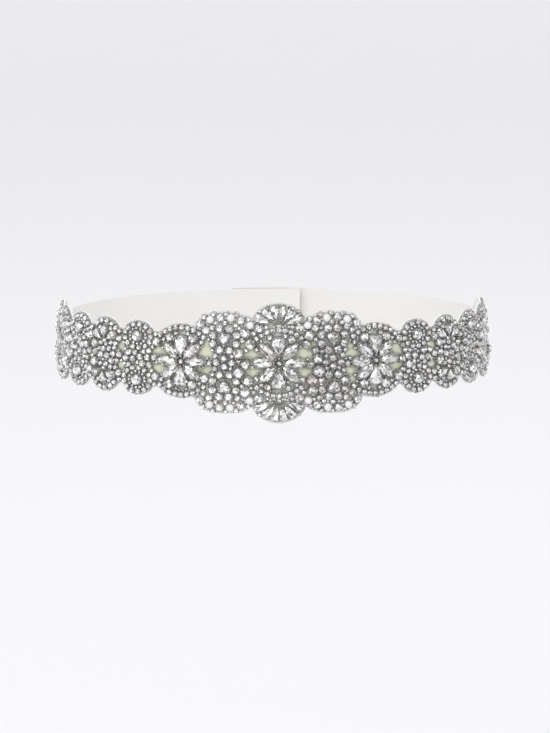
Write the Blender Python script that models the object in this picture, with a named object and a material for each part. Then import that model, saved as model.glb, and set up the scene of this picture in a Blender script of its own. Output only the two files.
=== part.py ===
"""A bridal sash: a satin ribbon round the waist, with a scalloped band of beaded motifs sewn to it.

Every piece is modelled flat, with x along the ribbon from the centre front, y up its width and
z out from the body. Its points are then wrapped round the waist, so the layers keep their gaps.
Metres, +Z up. The front faces -Y, and the origin is the centre of the waist ring.
"""

import math
from collections import namedtuple

import bmesh
import bpy
import numpy as np
from mathutils import Matrix, Vector

# The worn ring, measured over the stones
OUTER_WIDTH = 0.230
OUTER_DEPTH = 0.180
STACK = 0.006
HALF_WIDTH = OUTER_WIDTH / 2 - STACK
HALF_DEPTH = OUTER_DEPTH / 2 - STACK
FLARE = math.tan(math.radians(3.0))

# Layers, from the body outwards
SEAM_GAP = 0.0003
RIBBON_WIDTH = 0.025
RIBBON_WALL = 0.0010
BACKING_WALL = 0.0010
BACKING_OUT = RIBBON_WALL + SEAM_GAP
MOTIF_OUT = BACKING_OUT + BACKING_WALL + SEAM_GAP

# The lap at the centre back, and the hook and bar between its two layers
LAP = 0.036
LAP_RAMP = 0.022
LAP_CLEAR = 0.002
METAL = 0.0006
BAR_OUT = RIBBON_WALL + SEAM_GAP
BRIDGE_OUT = BAR_OUT + METAL + SEAM_GAP
HOOK_OUT = BRIDGE_OUT + METAL + SEAM_GAP
LAP_OUT = HOOK_OUT + METAL + SEAM_GAP
HOOK_WIDTH = 0.0100
HOOK_PLATE = 0.0080
HOOK_TONGUE = 0.0030
HOOK_BEND = 0.0042
BAR_BREADTH = 0.0016
BAR_INSIDE = 0.0056
BAR_FOOT = 0.0030

# Rows of beads: their sizes, and how narrow and low a row gets between two beads and at its sides
BEAD = 0.0030
PEARL = 0.0042
CHATON = 0.0042
BROAD_CHATON = 0.0048
BEAD_RISE = 0.0023
BEAD_DIP = 0.0010
BEAD_NECK = 0.62
BEAD_SHOULDER = 0.55

# Plates under the stones, and the ring of beads round a plate
PLATE = 0.0009
PLATE_DOME = 0.0001
PLATE_CHAMFER = 0.0006
RING_CLEAR = 0.0003
RING_FOOT = 0.8 * PLATE
RING_DIP = 0.5
RING_NECK = 0.05

# The outlines of cut stones, the height of their widest line and the width of their flat table
PEAR_TAPER = 1.5
PEAR_FULLNESS = 1.45
NAVETTE_TAPER = 0.4
GIRDLE = 0.0013
TABLE = 0.6
TABLE_MIDDLE = 0.56
STONE_RISE = 0.0034
THIN_FOOT = 0.00025
DEEP_FOOT = 0.0005

# Where the motifs stand along the ribbon, and how far they reach
FLOWER_REACH = 0.0144
SIDE_FLOWER_REACH = 0.0136
SIDE_FLOWER_ALONG = 0.0498
PETALS = 8
PETAL_START = 0.0028
FLOWER_PLATE = 0.0080
ARC_RADIUS = 0.0170
SIDE_ARC_RADIUS = 0.0173
ARC_SWEEP = math.radians(47)
ARC_BEADS = 9
FAN_UP = 0.0189
FAN_START = 0.0034
FAN_REACH = 0.0118
FAN_SPREAD = 0.0022
FAN_PEARS = 6
FAN_STEP = math.radians(27)
FAN_PLATE = 0.0080
PEAR_COLUMN_ALONG = 0.0275
PEAR_COLUMN_UP = 0.0120
PEARL_ARC_RADIUS = 0.0233
PEARL_ARC_FROM = math.radians(-40.5)
PEARL_ARC_TO = math.radians(38.5)
PEARL_ARC_BEADS = 6
CLUSTER_ALONG = 0.0034
CLUSTER_UP = 0.0019
CLUSTER_PLATE = 0.0032
CLUSTER_STRETCH = 1.5
ROSETTE_PAIRS = 5
ROSETTE_FIRST = 0.0745
ROSETTE_PITCH = 0.0208
ROSETTE_UP = 0.0113
ROW_FIRST = 0.0665
ROW_LAST = 0.1665
ROW_BEADS = 24
ROW_WAVE = 0.0009
END_ALONG = 0.1785
PEAR_TIP_IN = 0.0041
END_TIP_IN = 0.0042
TREFOIL_IN = 0.0044
TREFOIL_START = 0.0013
TREFOIL_LEAN = math.radians(52)

# The cut edge of the backing
MARGIN = 0.0010
VALLEY = 0.0140
VALLEY_LAST = 0.1685
BACKING_END = 0.1880
BACKING_STEP = 0.0030
RIBBON_STEPS = 90

# The steps of the waist's table, and the distance at which points are welded
WAIST_STEPS = 6000
WELD = 2e-6

Stone = namedtuple("Stone", "kind length width rise foot sides")
EYE = Stone("round", 0.0036, 0.0036, 0.0030, THIN_FOOT, 8)
BROAD_PETAL = Stone("pear", FLOWER_REACH - PETAL_START, 0.0062, 0.0040, THIN_FOOT, 8)
SLIM_PETAL = Stone("navette", FLOWER_REACH - PETAL_START, 0.0050, 0.0036, THIN_FOOT, 8)
FAN_PEAR = Stone("pear", FAN_REACH - FAN_START, 0.0038, STONE_RISE, THIN_FOOT, 8)
COLUMN_PEAR = Stone("pear", 0.0076, 0.0062, 0.0042, DEEP_FOOT, 8)
TREFOIL_PEAR = Stone("pear", 0.0062, 0.0036, STONE_RISE, DEEP_FOOT, 6)
END_PEAR = Stone("pear", 0.0080, 0.0056, 0.0036, DEEP_FOOT, 8)
CLUSTER_ROUND = Stone("round", 0.0036, 0.0036, 0.0031, DEEP_FOOT, 6)

Oval = namedtuple("Oval", "half_width half_height beads stone")
ROSETTE = Oval(half_width=0.0092, half_height=0.0075, beads=8, stone=0.0029)
PLAIN_ROSETTE = ROSETTE._replace(stone=0.0)
PEAR_ROSETTE = Oval(half_width=0.0080, half_height=0.0078, beads=8, stone=0.0)
END_ROSETTE = Oval(half_width=0.0092, half_height=0.0090, beads=8, stone=0.0)

# The rounded shapes whose outline the backing follows, on both sides of the centre front
Scallop = namedtuple("Scallop", "along up half_width half_height power")
ARC_REACH = ARC_RADIUS + BEAD / 2
SIDE_ARC_REACH = SIDE_ARC_RADIUS + BEAD / 2
SCALLOPS = [
    Scallop(0.0, 0.0, ARC_REACH, ARC_REACH, 2.0),
    Scallop(0.0, FAN_UP, 0.0138, FAN_REACH, 2.0),
    Scallop(PEAR_COLUMN_ALONG, 0.0, 0.0172, PEARL_ARC_RADIUS + BROAD_CHATON / 2, 3.3),
    Scallop(SIDE_FLOWER_ALONG, 0.0, SIDE_ARC_REACH, SIDE_ARC_REACH, 2.0),
    Scallop(END_ALONG, 0.0, END_ROSETTE.half_width, END_ROSETTE.half_height, 2.0),
]
for pair in range(ROSETTE_PAIRS):
    place = ROSETTE_FIRST + pair * ROSETTE_PITCH
    SCALLOPS.append(Scallop(place, ROSETTE_UP, ROSETTE.half_width, ROSETTE.half_height, 2.0))

Colour = namedtuple("Colour", "red green blue roughness metallic")
COLOURS = {
    "satin": Colour(0.90, 0.89, 0.86, 0.40, 0.0),
    "backing": Colour(0.62, 0.65, 0.45, 0.85, 0.0),
    "stones": Colour(0.66, 0.67, 0.69, 0.12, 0.6),
    "pearls": Colour(0.86, 0.85, 0.82, 0.30, 0.0),
    "metal": Colour(0.50, 0.50, 0.52, 0.35, 1.0),
}


def waist_table():
    """Turns about the waist ellipse, and the length along it from the centre front to each."""
    turns = np.linspace(-1.5 * math.pi, 1.5 * math.pi, WAIST_STEPS + 1)
    steps = np.hypot(np.diff(HALF_WIDTH * np.sin(turns)), np.diff(HALF_DEPTH * np.cos(turns)))
    lengths = np.concatenate(([0.0], np.cumsum(steps)))
    return turns, lengths - lengths[len(lengths) // 2]


TURNS, LENGTHS = waist_table()
ROUND = float(np.interp(math.pi, TURNS, LENGTHS) - np.interp(-math.pi, TURNS, LENGTHS))


def wrapped(flat):
    """The place round the waist of a flat point: along the ribbon, up its width, out from it."""
    turn = float(np.interp(flat.x, LENGTHS, TURNS))
    outward = Vector((HALF_DEPTH * math.sin(turn), -HALF_WIDTH * math.cos(turn), 0.0)).normalized()
    reach = flat.z - FLARE * flat.y
    ring = Vector((HALF_WIDTH * math.sin(turn), -HALF_DEPTH * math.cos(turn), flat.y))
    return ring + outward * reach


def material(name):
    """One Principled material with the colour that COLOURS gives."""
    found = bpy.data.materials.get(name)
    if found:
        return found
    made = bpy.data.materials.new(name)
    made.use_nodes = True
    colour = COLOURS[name]
    shader = made.node_tree.nodes["Principled BSDF"]
    shader.inputs["Base Color"].default_value = (colour.red, colour.green, colour.blue, 1.0)
    shader.inputs["Roughness"].default_value = colour.roughness
    shader.inputs["Metallic"].default_value = colour.metallic
    made.diffuse_color = (colour.red, colour.green, colour.blue, 1.0)
    return made


def face_out(shape):
    """Turns every face of a closed shape outwards."""
    bmesh.ops.recalc_face_normals(shape, faces=shape.faces)
    if shape.calc_volume(signed=True) < 0.0:
        bmesh.ops.reverse_faces(shape, faces=shape.faces)


def put(name, shape, finish):
    """Wraps a flat mesh round the waist and puts it in the scene as a named piece."""
    for vert in shape.verts:
        vert.co = wrapped(vert.co)
    face_out(shape)
    mesh = bpy.data.meshes.new(name)
    shape.to_mesh(mesh)
    shape.free()
    mesh.materials.append(material(finish))
    piece = bpy.data.objects.new(name, mesh)
    SASH.objects.link(piece)
    return piece


def new_verts(grown):
    """The vertices that an extrusion made."""
    return [item for item in grown["geom"] if isinstance(item, bmesh.types.BMVert)]


def grid_order(vert):
    """Sorts the vertices of a grid row by row, whatever their rounding."""
    return round(vert.co.y, 6), round(vert.co.x, 6)


def thick_strip(columns, rows, low, high):
    """A strip with a wall, whose two faces go where low and high send each (column, row) share."""
    shape = bmesh.new()
    bmesh.ops.create_grid(shape, x_segments=columns, y_segments=rows, size=0.5)
    under = sorted(shape.verts, key=grid_order)
    grown = bmesh.ops.extrude_face_region(shape, geom=list(shape.faces), use_keep_orig=True)
    over = sorted(new_verts(grown), key=grid_order)
    for below, above in zip(under, over):
        share, side = below.co.x + 0.5, below.co.y + 0.5
        below.co = low(share, side)
        above.co = high(share, side)
    return shape


def bead_wave(share, beads):
    """One at the middle of each bead of a row and nought between two."""
    return 0.5 - 0.5 * math.cos(2 * math.pi * beads * share)


def bead_row(name, path, widths, finish):
    """A raised row of beads: path gives the place and the sideways direction at each share."""
    beads = len(widths)

    def across(share, side):
        index = min(int(share * beads), beads - 1)
        swell = BEAD_NECK + (1.0 - BEAD_NECK) * bead_wave(share, beads)
        centre, sideways = path(share)
        return centre + sideways * ((side - 0.5) * widths[index] * swell)

    def low(share, side):
        flat = across(share, side)
        return Vector((flat.x, flat.y, MOTIF_OUT))

    def high(share, side):
        flat = across(share, side)
        crest = 1.0 if abs(side - 0.5) < 0.25 else BEAD_SHOULDER
        rise = BEAD_DIP + (BEAD_RISE - BEAD_DIP) * bead_wave(share, beads)
        return Vector((flat.x, flat.y, MOTIF_OUT + rise * crest))

    return put(name, thick_strip(2 * beads, 2, low, high), finish)


def arc_row(name, along, up, radius, start, end, widths, finish, upward):
    """A row of beads on an arc about (along, up), from angle start to end off the vertical."""

    def path(share):
        angle = start + (end - start) * share
        sideways = Vector((math.sin(angle), math.cos(angle) * upward, 0.0))
        return Vector((along, up, 0.0)) + sideways * radius, sideways

    return bead_row(name, path, widths, finish)


def turned(profile, sides):
    """A closed body turned from a profile of (radius, height) that starts and ends on the axis."""
    shape = bmesh.new()
    verts = [shape.verts.new((radius, 0.0, height)) for radius, height in profile]
    edges = [shape.edges.new(pair) for pair in zip(verts, verts[1:])]
    bmesh.ops.spin(
        shape,
        geom=verts + edges,
        cent=(0, 0, 0),
        axis=(0, 0, 1),
        angle=2 * math.pi,
        steps=sides,
        use_merge=True,
    )
    bmesh.ops.remove_doubles(shape, verts=shape.verts, dist=WELD)
    return shape


def rosette(oval):
    """An oval plate with a ring of beads round it and, unless its size is nought, a round stone."""
    reach = oval.half_height
    inner = reach - BEAD - RING_CLEAR
    stone_reach = oval.stone or inner / 2
    top = STONE_RISE if oval.stone else PLATE + PLATE_DOME
    foot = GIRDLE if oval.stone else PLATE
    profile = (
        (0.0, 0.0),
        (reach / 2, 0.0),
        (reach - PLATE_CHAMFER, 0.0),
        (reach, BEAD_DIP),
        (reach - BEAD / 2, BEAD_RISE),
        (reach - BEAD, PLATE),
        (stone_reach, foot),
        (stone_reach * TABLE, top),
        (0.0, top),
    )
    shape = turned(profile, 2 * oval.beads)
    for vert in shape.verts:
        if vert.co.xy.length > inner and vert.co.z > 0.0:
            share = math.atan2(vert.co.y, vert.co.x) / math.tau
            between = bead_wave(share, oval.beads)
            vert.co.z -= (vert.co.z - RING_FOOT) * RING_DIP * between
            vert.co.x *= 1.0 - RING_NECK * between
            vert.co.y *= 1.0 - RING_NECK * between
        vert.co.x *= oval.half_width / oval.half_height
    return shape


def stone_outline(cut, angle):
    """The place on a stone's outline at an angle; its tip is at nought, or a round one's middle."""
    along, across = math.cos(angle), math.sin(angle)
    if cut.kind == "round":
        return cut.length / 2 * along, cut.width / 2 * across
    if cut.kind == "pear":
        across *= PEAR_FULLNESS * abs(math.cos(angle / 2)) ** PEAR_TAPER
    else:
        across *= abs(across) ** NAVETTE_TAPER
    return cut.length * (1.0 + along) / 2, cut.width / 2 * across


def stone(cut):
    """A cut stone that points along +x: a straight foot, a girdle and a sloping crown."""
    shape = bmesh.new()
    bmesh.ops.create_circle(shape, cap_ends=True, segments=cut.sides, radius=1.0)
    for vert in shape.verts:
        x, y = stone_outline(cut, math.atan2(vert.co.y, vert.co.x))
        vert.co = (x, y, cut.foot)
    grown = bmesh.ops.extrude_face_region(shape, geom=list(shape.faces), use_keep_orig=True)
    for vert in new_verts(grown):
        vert.co.z = GIRDLE
    girdle = [item for item in grown["geom"] if isinstance(item, bmesh.types.BMFace)]
    table = bmesh.ops.extrude_discrete_faces(shape, faces=girdle)["faces"][0]
    middle = 0.0 if cut.kind == "round" else cut.length * TABLE_MIDDLE
    for vert in table.verts:
        vert.co = (middle + (vert.co.x - middle) * TABLE, vert.co.y * TABLE, cut.rise)
    face_out(shape)
    return shape


def placed(shape, along, up, turn=0.0):
    """Turns a flat shape about its origin and moves it to its place along and up the ribbon."""
    matrix = Matrix.Translation((along, up, MOTIF_OUT)) @ Matrix.Rotation(turn, 4, "Z")
    bmesh.ops.transform(shape, matrix=matrix, verts=shape.verts)
    return shape


def loose(name, shape):
    """Puts a flat shape in the scene as it is, for a Boolean to use."""
    face_out(shape)
    mesh = bpy.data.meshes.new(name)
    shape.to_mesh(mesh)
    shape.free()
    made = bpy.data.objects.new(name, mesh)
    CUTTERS.objects.link(made)
    made.hide_render = True
    made.display_type = "WIRE"
    return made


def united(name, base, stones, finish):
    """Joins stones that stand clear of each other to a flat base, and wraps the result."""
    pile = bmesh.new()
    for one in stones:
        mesh = bpy.data.meshes.new("stone")
        one.to_mesh(mesh)
        one.free()
        pile.from_mesh(mesh)
        bpy.data.meshes.remove(mesh)
    seat, load = loose(name + "_seat", base), loose(name + "_stones", pile)
    join = seat.modifiers.new("join", "BOOLEAN")
    join.operation = "UNION"
    join.solver = "EXACT"
    join.object = load
    graph = bpy.context.evaluated_depsgraph_get()
    mesh = bpy.data.meshes.new_from_object(seat.evaluated_get(graph))
    shape = bmesh.new()
    shape.from_mesh(mesh)
    for made in (seat, load):
        bpy.data.objects.remove(made)
    bmesh.ops.remove_doubles(shape, verts=shape.verts, dist=WELD)
    bmesh.ops.dissolve_degenerate(shape, dist=WELD / 2, edges=shape.edges)
    bmesh.ops.triangulate(shape, faces=shape.faces)
    return put(name, shape, finish)


def disc(radius, sides=16, half=False):
    """A thin round plate whose faces fan out from its middle, or half of one."""
    profile = ((0.0, 0.0), (radius, 0.0), (radius, PLATE), (0.0, PLATE))
    shape = turned(profile, sides)
    if half:
        bmesh.ops.bisect_plane(
            shape,
            geom=list(shape.verts) + list(shape.edges) + list(shape.faces),
            dist=WELD / 2,
            plane_co=(0, 0, 0),
            plane_no=(0, 1, 0),
            clear_inner=True,
        )
        rim = [edge for edge in shape.edges if edge.is_boundary]
        bmesh.ops.holes_fill(shape, edges=rim, sides=0)
    return shape


def flower(name, along, reach):
    """Eight cut petals round a small stone: broad pears up and down, slim navettes between."""
    petals = [placed(stone(EYE), along, 0.0)]
    for index in range(PETALS):
        turn = math.tau * index / PETALS
        petal = BROAD_PETAL if index % 4 == 2 else SLIM_PETAL
        start = Vector((math.cos(turn), math.sin(turn))) * PETAL_START
        shape = stone(petal._replace(length=reach - PETAL_START))
        petals.append(placed(shape, along + start.x, start.y, turn))
    return united(name, placed(disc(FLOWER_PLATE), along, 0.0), petals, "stones")


def fan(name, upward):
    """Pears that spread from a point above or below the centre flower, the outer ones longest."""
    pears = []
    last = (FAN_PEARS - 1) / 2
    for index in range(FAN_PEARS):
        lean = (index - last) * FAN_STEP
        turn = upward * (math.pi / 2 - lean)
        start = Vector((math.cos(turn), math.sin(turn))) * FAN_START
        longer = FAN_SPREAD * ((index - last) / last) ** 2
        shape = stone(FAN_PEAR._replace(length=FAN_PEAR.length + longer))
        pears.append(placed(shape, start.x, upward * FAN_UP + start.y, turn))
    base = disc(FAN_PLATE, half=True)
    turn = 0.0 if upward > 0 else math.pi
    return united(name, placed(base, 0.0, upward * FAN_UP, turn), pears, "stones")


def pear_rosette(name, along, up):
    """A rosette whose middle is one broad pear that points to the middle of the band."""
    turn = math.copysign(math.pi / 2, up)
    pear = placed(stone(COLUMN_PEAR), along, up - math.copysign(PEAR_TIP_IN, up), turn)
    return united(name, placed(rosette(PEAR_ROSETTE), along, up), [pear], "stones")


def trefoil_rosette(name, along, up):
    """A rosette whose middle is three pears that spread outwards."""
    low = up - math.copysign(TREFOIL_IN, up)
    pears = []
    for lean in (-TREFOIL_LEAN, 0.0, TREFOIL_LEAN):
        turn = math.copysign(math.pi / 2, up) - lean
        start = Vector((math.cos(turn), math.sin(turn))) * TREFOIL_START
        pears.append(placed(stone(TREFOIL_PEAR), along + start.x, low + start.y, turn))
    return united(name, placed(rosette(PLAIN_ROSETTE), along, up), pears, "stones")


def end_rosette(name, along):
    """The single motif that closes each end of the band, its pear pointing back along it."""
    turn = 0.0 if along > 0 else math.pi
    pear = placed(stone(END_PEAR), along - math.copysign(END_TIP_IN, along), 0.0, turn)
    return united(name, placed(rosette(END_ROSETTE), along, 0.0), [pear], "stones")


def round_cluster(name, along):
    """Four round stones in a lozenge between the two pear rosettes of a column."""
    base = disc(CLUSTER_PLATE, sides=12)
    for vert in base.verts:
        vert.co.x *= CLUSTER_STRETCH
    spots = ((-CLUSTER_ALONG, 0.0), (CLUSTER_ALONG, 0.0), (0.0, CLUSTER_UP), (0.0, -CLUSTER_UP))
    rounds = [placed(stone(CLUSTER_ROUND), along + x, y) for x, y in spots]
    return united(name, placed(base, along, 0.0), rounds, "stones")


def centre_row(name, side):
    """The row of round stones that runs between the upper and the lower rosettes."""

    def path(share):
        along = side * (ROW_FIRST + (ROW_LAST - ROW_FIRST) * share)
        up = ROW_WAVE * math.sin(math.tau * share * ROW_BEADS / 4)
        return Vector((along, up, 0.0)), Vector((0.0, 1.0, 0.0))

    return bead_row(name, path, [CHATON] * ROW_BEADS, "stones")


def backing_edge(along):
    """Half the height of the scalloped backing at a place along it, from the motifs it carries."""
    reach = abs(along)
    high = VALLEY if reach < VALLEY_LAST else 0.0
    for one in SCALLOPS:
        share = abs(reach - one.along) / (one.half_width + MARGIN)
        if share < 1.0:
            bulge = (1.0 - share**one.power) ** (1.0 / one.power)
            high = max(high, one.up + (one.half_height + MARGIN) * bulge)
    return high


def applique_backing():
    """The scalloped cloth that carries every motif."""
    columns = 2 * round(BACKING_END / BACKING_STEP)

    def at(share, side, out):
        along = BACKING_END * (2.0 * share - 1.0)
        return Vector((along, (2.0 * side - 1.0) * backing_edge(along), out))

    shape = thick_strip(
        columns,
        1,
        lambda share, side: at(share, side, BACKING_OUT),
        lambda share, side: at(share, side, BACKING_OUT + BACKING_WALL),
    )
    return put("applique_backing", shape, "backing")


def ribbon_lift(along):
    """How far the ribbon stands out: its right-hand end passes over the left-hand one."""
    last = ROUND / 2 - LAP / 2 - LAP_CLEAR
    share = min(max((along - (last - LAP_RAMP)) / LAP_RAMP, 0.0), 1.0)
    return LAP_OUT * share * share * (3.0 - 2.0 * share)


def sash_ribbon():
    """One length of ribbon, once round the waist and lapped at the centre back."""

    def at(share, side, out):
        along = (ROUND + LAP) * (share - 0.5)
        return Vector((along, RIBBON_WIDTH * (side - 0.5), ribbon_lift(along) + out))

    shape = thick_strip(
        RIBBON_STEPS,
        1,
        lambda share, side: at(share, side, 0.0),
        lambda share, side: at(share, side, RIBBON_WALL),
    )
    return put("sash_ribbon", shape, "satin")


def bent_strip(name, outline, breadth, matrix):
    """A strip of metal: a filled outline as thick as its breadth, moved and turned by a matrix."""
    curve = bpy.data.curves.new(name, "CURVE")
    curve.dimensions = "2D"
    curve.fill_mode = "BOTH"
    curve.extrude = breadth / 2
    spline = curve.splines.new("POLY")
    spline.points.add(len(outline) - 1)
    for point, (x, y) in zip(spline.points, outline):
        point.co = (x, y, 0.0, 1.0)
    spline.use_cyclic_u = True
    drawn = bpy.data.objects.new(name + "_outline", curve)
    CUTTERS.objects.link(drawn)
    graph = bpy.context.evaluated_depsgraph_get()
    shape = bmesh.new()
    shape.from_mesh(bpy.data.meshes.new_from_object(drawn.evaluated_get(graph)))
    bpy.data.objects.remove(drawn)
    bmesh.ops.remove_doubles(shape, verts=shape.verts, dist=WELD)
    bmesh.ops.transform(shape, matrix=matrix, verts=shape.verts)
    return put(name, shape, "metal")


def closure():
    """The hook under the outer end of the ribbon, and the bar that it holds on the inner end."""
    back = ROUND / 2
    tongue_top, inside = BAR_OUT + METAL, HOOK_BEND - METAL
    hook = [
        (-HOOK_TONGUE, BAR_OUT),
        (HOOK_BEND, BAR_OUT),
        (HOOK_BEND, HOOK_OUT + METAL),
        (-HOOK_PLATE, HOOK_OUT + METAL),
        (-HOOK_PLATE, HOOK_OUT),
        (inside, HOOK_OUT),
        (inside, tongue_top),
        (-HOOK_TONGUE, tongue_top),
    ]
    standing = Matrix.Rotation(math.pi / 2, 4, "X")
    bent_strip("closure_hook", hook, HOOK_WIDTH, Matrix.Translation((back, 0.0, 0.0)) @ standing)
    riser = BAR_INSIDE + METAL
    half = [
        (riser + BAR_FOOT, BAR_OUT),
        (riser + BAR_FOOT, BAR_OUT + METAL),
        (riser, BAR_OUT + METAL),
        (riser, BRIDGE_OUT + METAL),
    ]
    inner = [(BAR_INSIDE, BRIDGE_OUT), (BAR_INSIDE, BAR_OUT)]
    ring = half + [(-up, out) for up, out in reversed(half)]
    ring += [(-up, out) for up, out in reversed(inner)] + inner
    middle = back + inside - SEAM_GAP - BAR_BREADTH / 2
    across = Matrix.Translation((middle, 0.0, 0.0)) @ Matrix.Rotation(math.pi / 2, 4, "Z") @ standing
    bent_strip("closure_bar", ring, BAR_BREADTH, across)


def collection(name):
    made = bpy.data.collections.new(name)
    bpy.context.scene.collection.children.link(made)
    return made


def centre_motifs():
    flower("centre_flower", 0.0, FLOWER_REACH)
    small = [BEAD] * ARC_BEADS
    for word, upward in (("upper", 1), ("lower", -1)):
        fan(f"fan_{word}", upward)
        name = f"centre_arc_{word}"
        arc_row(name, 0.0, 0.0, ARC_RADIUS, -ARC_SWEEP, ARC_SWEEP, small, "stones", upward)


def side_motifs(hand, side):
    """All that stands on one side of the centre flower; side is -1 at the viewer's left."""
    column, blossom = side * PEAR_COLUMN_ALONG, side * SIDE_FLOWER_ALONG
    flower(f"{hand}_flower", blossom, SIDE_FLOWER_REACH)
    round_cluster(f"{hand}_round_cluster", column)
    centre_row(f"{hand}_centre_row", side)
    end_rosette(f"{hand}_end_rosette", side * END_ALONG)
    small = [BEAD] * ARC_BEADS
    mixed = [BROAD_CHATON if index % 2 else PEARL for index in range(PEARL_ARC_BEADS)]
    for word, upward in (("upper", 1), ("lower", -1)):
        pear_rosette(f"{hand}_pear_rosette_{word}", column, upward * PEAR_COLUMN_UP)
        name = f"{hand}_flower_arc_{word}"
        radius = SIDE_ARC_RADIUS
        arc_row(name, blossom, 0.0, radius, -ARC_SWEEP, ARC_SWEEP, small, "stones", upward)
        start, end = side * PEARL_ARC_FROM, side * PEARL_ARC_TO
        name = f"{hand}_pearl_arc_{word}"
        arc_row(name, column, 0.0, PEARL_ARC_RADIUS, start, end, mixed, "pearls", upward)
        for index in range(ROSETTE_PAIRS):
            name = f"{hand}_rosette_{index + 1}_{word}"
            along = side * (ROSETTE_FIRST + index * ROSETTE_PITCH)
            if index % 2:
                trefoil_rosette(name, along, upward * ROSETTE_UP)
            else:
                put(name, placed(rosette(ROSETTE), along, upward * ROSETTE_UP), "stones")


for old in list(bpy.data.objects):
    bpy.data.objects.remove(old)
SASH = collection("bridal_sash")
CUTTERS = collection("cutters")

sash_ribbon()
closure()
applique_backing()
centre_motifs()
side_motifs("left", -1)
side_motifs("right", 1)
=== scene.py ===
"""The looks of the bridal sash, laid out as a Blender add-on and run as a script.

Pieces are modelled flat, with x along the ribbon from the centre front, y up its width and z out
from its inner face, and are then wrapped round the waist. Metres, +Z up, the front faces -Y.
"""

import functools
import itertools
import math
import random
from collections import namedtuple

import bmesh
import bpy
import numpy as np
from bpy.props import FloatProperty, FloatVectorProperty, IntProperty, PointerProperty
from mathutils import Matrix, Vector


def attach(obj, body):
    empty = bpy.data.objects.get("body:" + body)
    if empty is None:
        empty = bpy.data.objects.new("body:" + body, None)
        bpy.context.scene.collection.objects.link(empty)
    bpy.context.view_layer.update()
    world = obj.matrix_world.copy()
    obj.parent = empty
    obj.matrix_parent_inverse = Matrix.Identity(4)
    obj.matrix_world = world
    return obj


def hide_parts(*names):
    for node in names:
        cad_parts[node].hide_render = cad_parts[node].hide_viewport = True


bl_info = {
    "name": "Bridal sash",
    "version": (1, 0, 0),
    "blender": (4, 5, 0),
    "location": "3D View > Sidebar > Sash",
    "description": "Dresses a satin sash with a band of cut stones, beads and pearls",
    "category": "Object",
}

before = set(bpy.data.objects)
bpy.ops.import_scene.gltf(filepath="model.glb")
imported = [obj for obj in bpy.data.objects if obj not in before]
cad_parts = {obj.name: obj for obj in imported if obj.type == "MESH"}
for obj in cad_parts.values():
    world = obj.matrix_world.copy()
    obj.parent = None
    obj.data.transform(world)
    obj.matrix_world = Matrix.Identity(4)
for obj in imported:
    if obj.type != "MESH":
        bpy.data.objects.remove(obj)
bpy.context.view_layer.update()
ROOT = "root"

# One cut stone, bead or pearl: the middle of its foot on the flat band, and its size
Stone = namedtuple("Stone", "cut along up turn length width rise")

# An oval that the scalloped edge follows; a power above 2 squares its corners
Oval = namedtuple("Oval", "along up half_width half_height power", defaults=(2.0,))

# A soft crease of the ribbon: its middle, how it leans, its half length and breadth, its height
Crease = namedtuple("Crease", "along lean reach breadth height")
CREASES = (
    Crease(-0.268, 0.25, 0.0085, 0.0040, 0.00055),
    Crease(-0.243, -0.40, 0.0110, 0.0062, 0.00040),
    Crease(-0.222, 0.15, 0.0070, 0.0035, 0.00060),
    Crease(-0.203, -0.20, 0.0100, 0.0050, 0.00035),
    Crease(0.207, 0.30, 0.0105, 0.0055, 0.00045),
    Crease(0.229, -0.15, 0.0075, 0.0038, 0.00060),
    Crease(0.251, 0.35, 0.0120, 0.0068, 0.00040),
    Crease(0.274, -0.30, 0.0080, 0.0042, 0.00050),
)

SEED = 11
PETALS = 8
FAN_PEARS = 6
ROSETTE_PAIRS = 5
ARC_BEADS = 9
PEARL_ARC_STONES = 6
END_HALF_WIDTH, END_HALF_HEIGHT = 0.0092, 0.0090
WAIST_STEPS = 6000
SHARP_ANGLE = math.radians(32)

# The places of a piece's materials, in the order that stone_finishes gives them
GEM, METAL, LUSTRE, CUP = range(4)

# The sockets of a Mix node that mixes colours
MIX_SHARE, MIX_FIRST, MIX_SECOND, MIX_RESULT = 0, 6, 7, 2

# A gem's rings from girdle to table: share of its outline, height, turned by half a facet
GEM_RINGS = ((0.93, 0.46, False), (0.76, 0.78, True), (0.50, 0.97, False))
TABLE_DISH = -0.05

# The middle that a pear's rings are drawn in about, its swell and taper, and how a navette
# comes to its points
PEAR_MIDDLE, PEAR_SWELL, PEAR_TAPER = 0.06, 1.45, 1.5
NAVETTE_POINT = 0.4
CUP_TOP, CUP_DRAWN_IN = 0.48, 0.98
SIDES = {"round": 8, "seed": 6, "navette": 12, "pear": 12}

# Prongs: angles round each cut in degrees, and how much longer than wide the cut is
PRONGS = {
    "round": (45, 135, 225, 315),
    "seed": (),
    "navette": (0, 180, 62, 118, -62, -118),
    "pear": (180, 38, -38, 112, -112),
}
ASPECT = {"round": 1.0, "navette": 2.0, "pear": 1.4}

# A prong's middle and lean, and its thickness at the foot and tip and its length
PRONG_OUT, PRONG_UP, PRONG_LEAN = 0.93, 0.44, math.radians(-13)
PRONG_FOOT, PRONG_TIP, PRONG_LENGTH = 0.085, 0.06, 0.56

# Circles that cover a long stone: their places along it, and their widths on each cut
COVER_PLACES = (-0.40, -0.20, 0.0, 0.20, 0.38)
COVER_WIDTHS = {"pear": (0.30, 0.62, 0.92, 0.98, 0.62), "navette": (0.35, 0.80, 1.0, 0.80, 0.35)}

# A bare wedge beside a flower: circles past its tip, above its middle, and their radii
WEDGE = ((-0.0036, 0.0036, 0.0012), (-0.0012, 0.0047, 0.0021), (0.0012, 0.0040, 0.0013))

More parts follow.
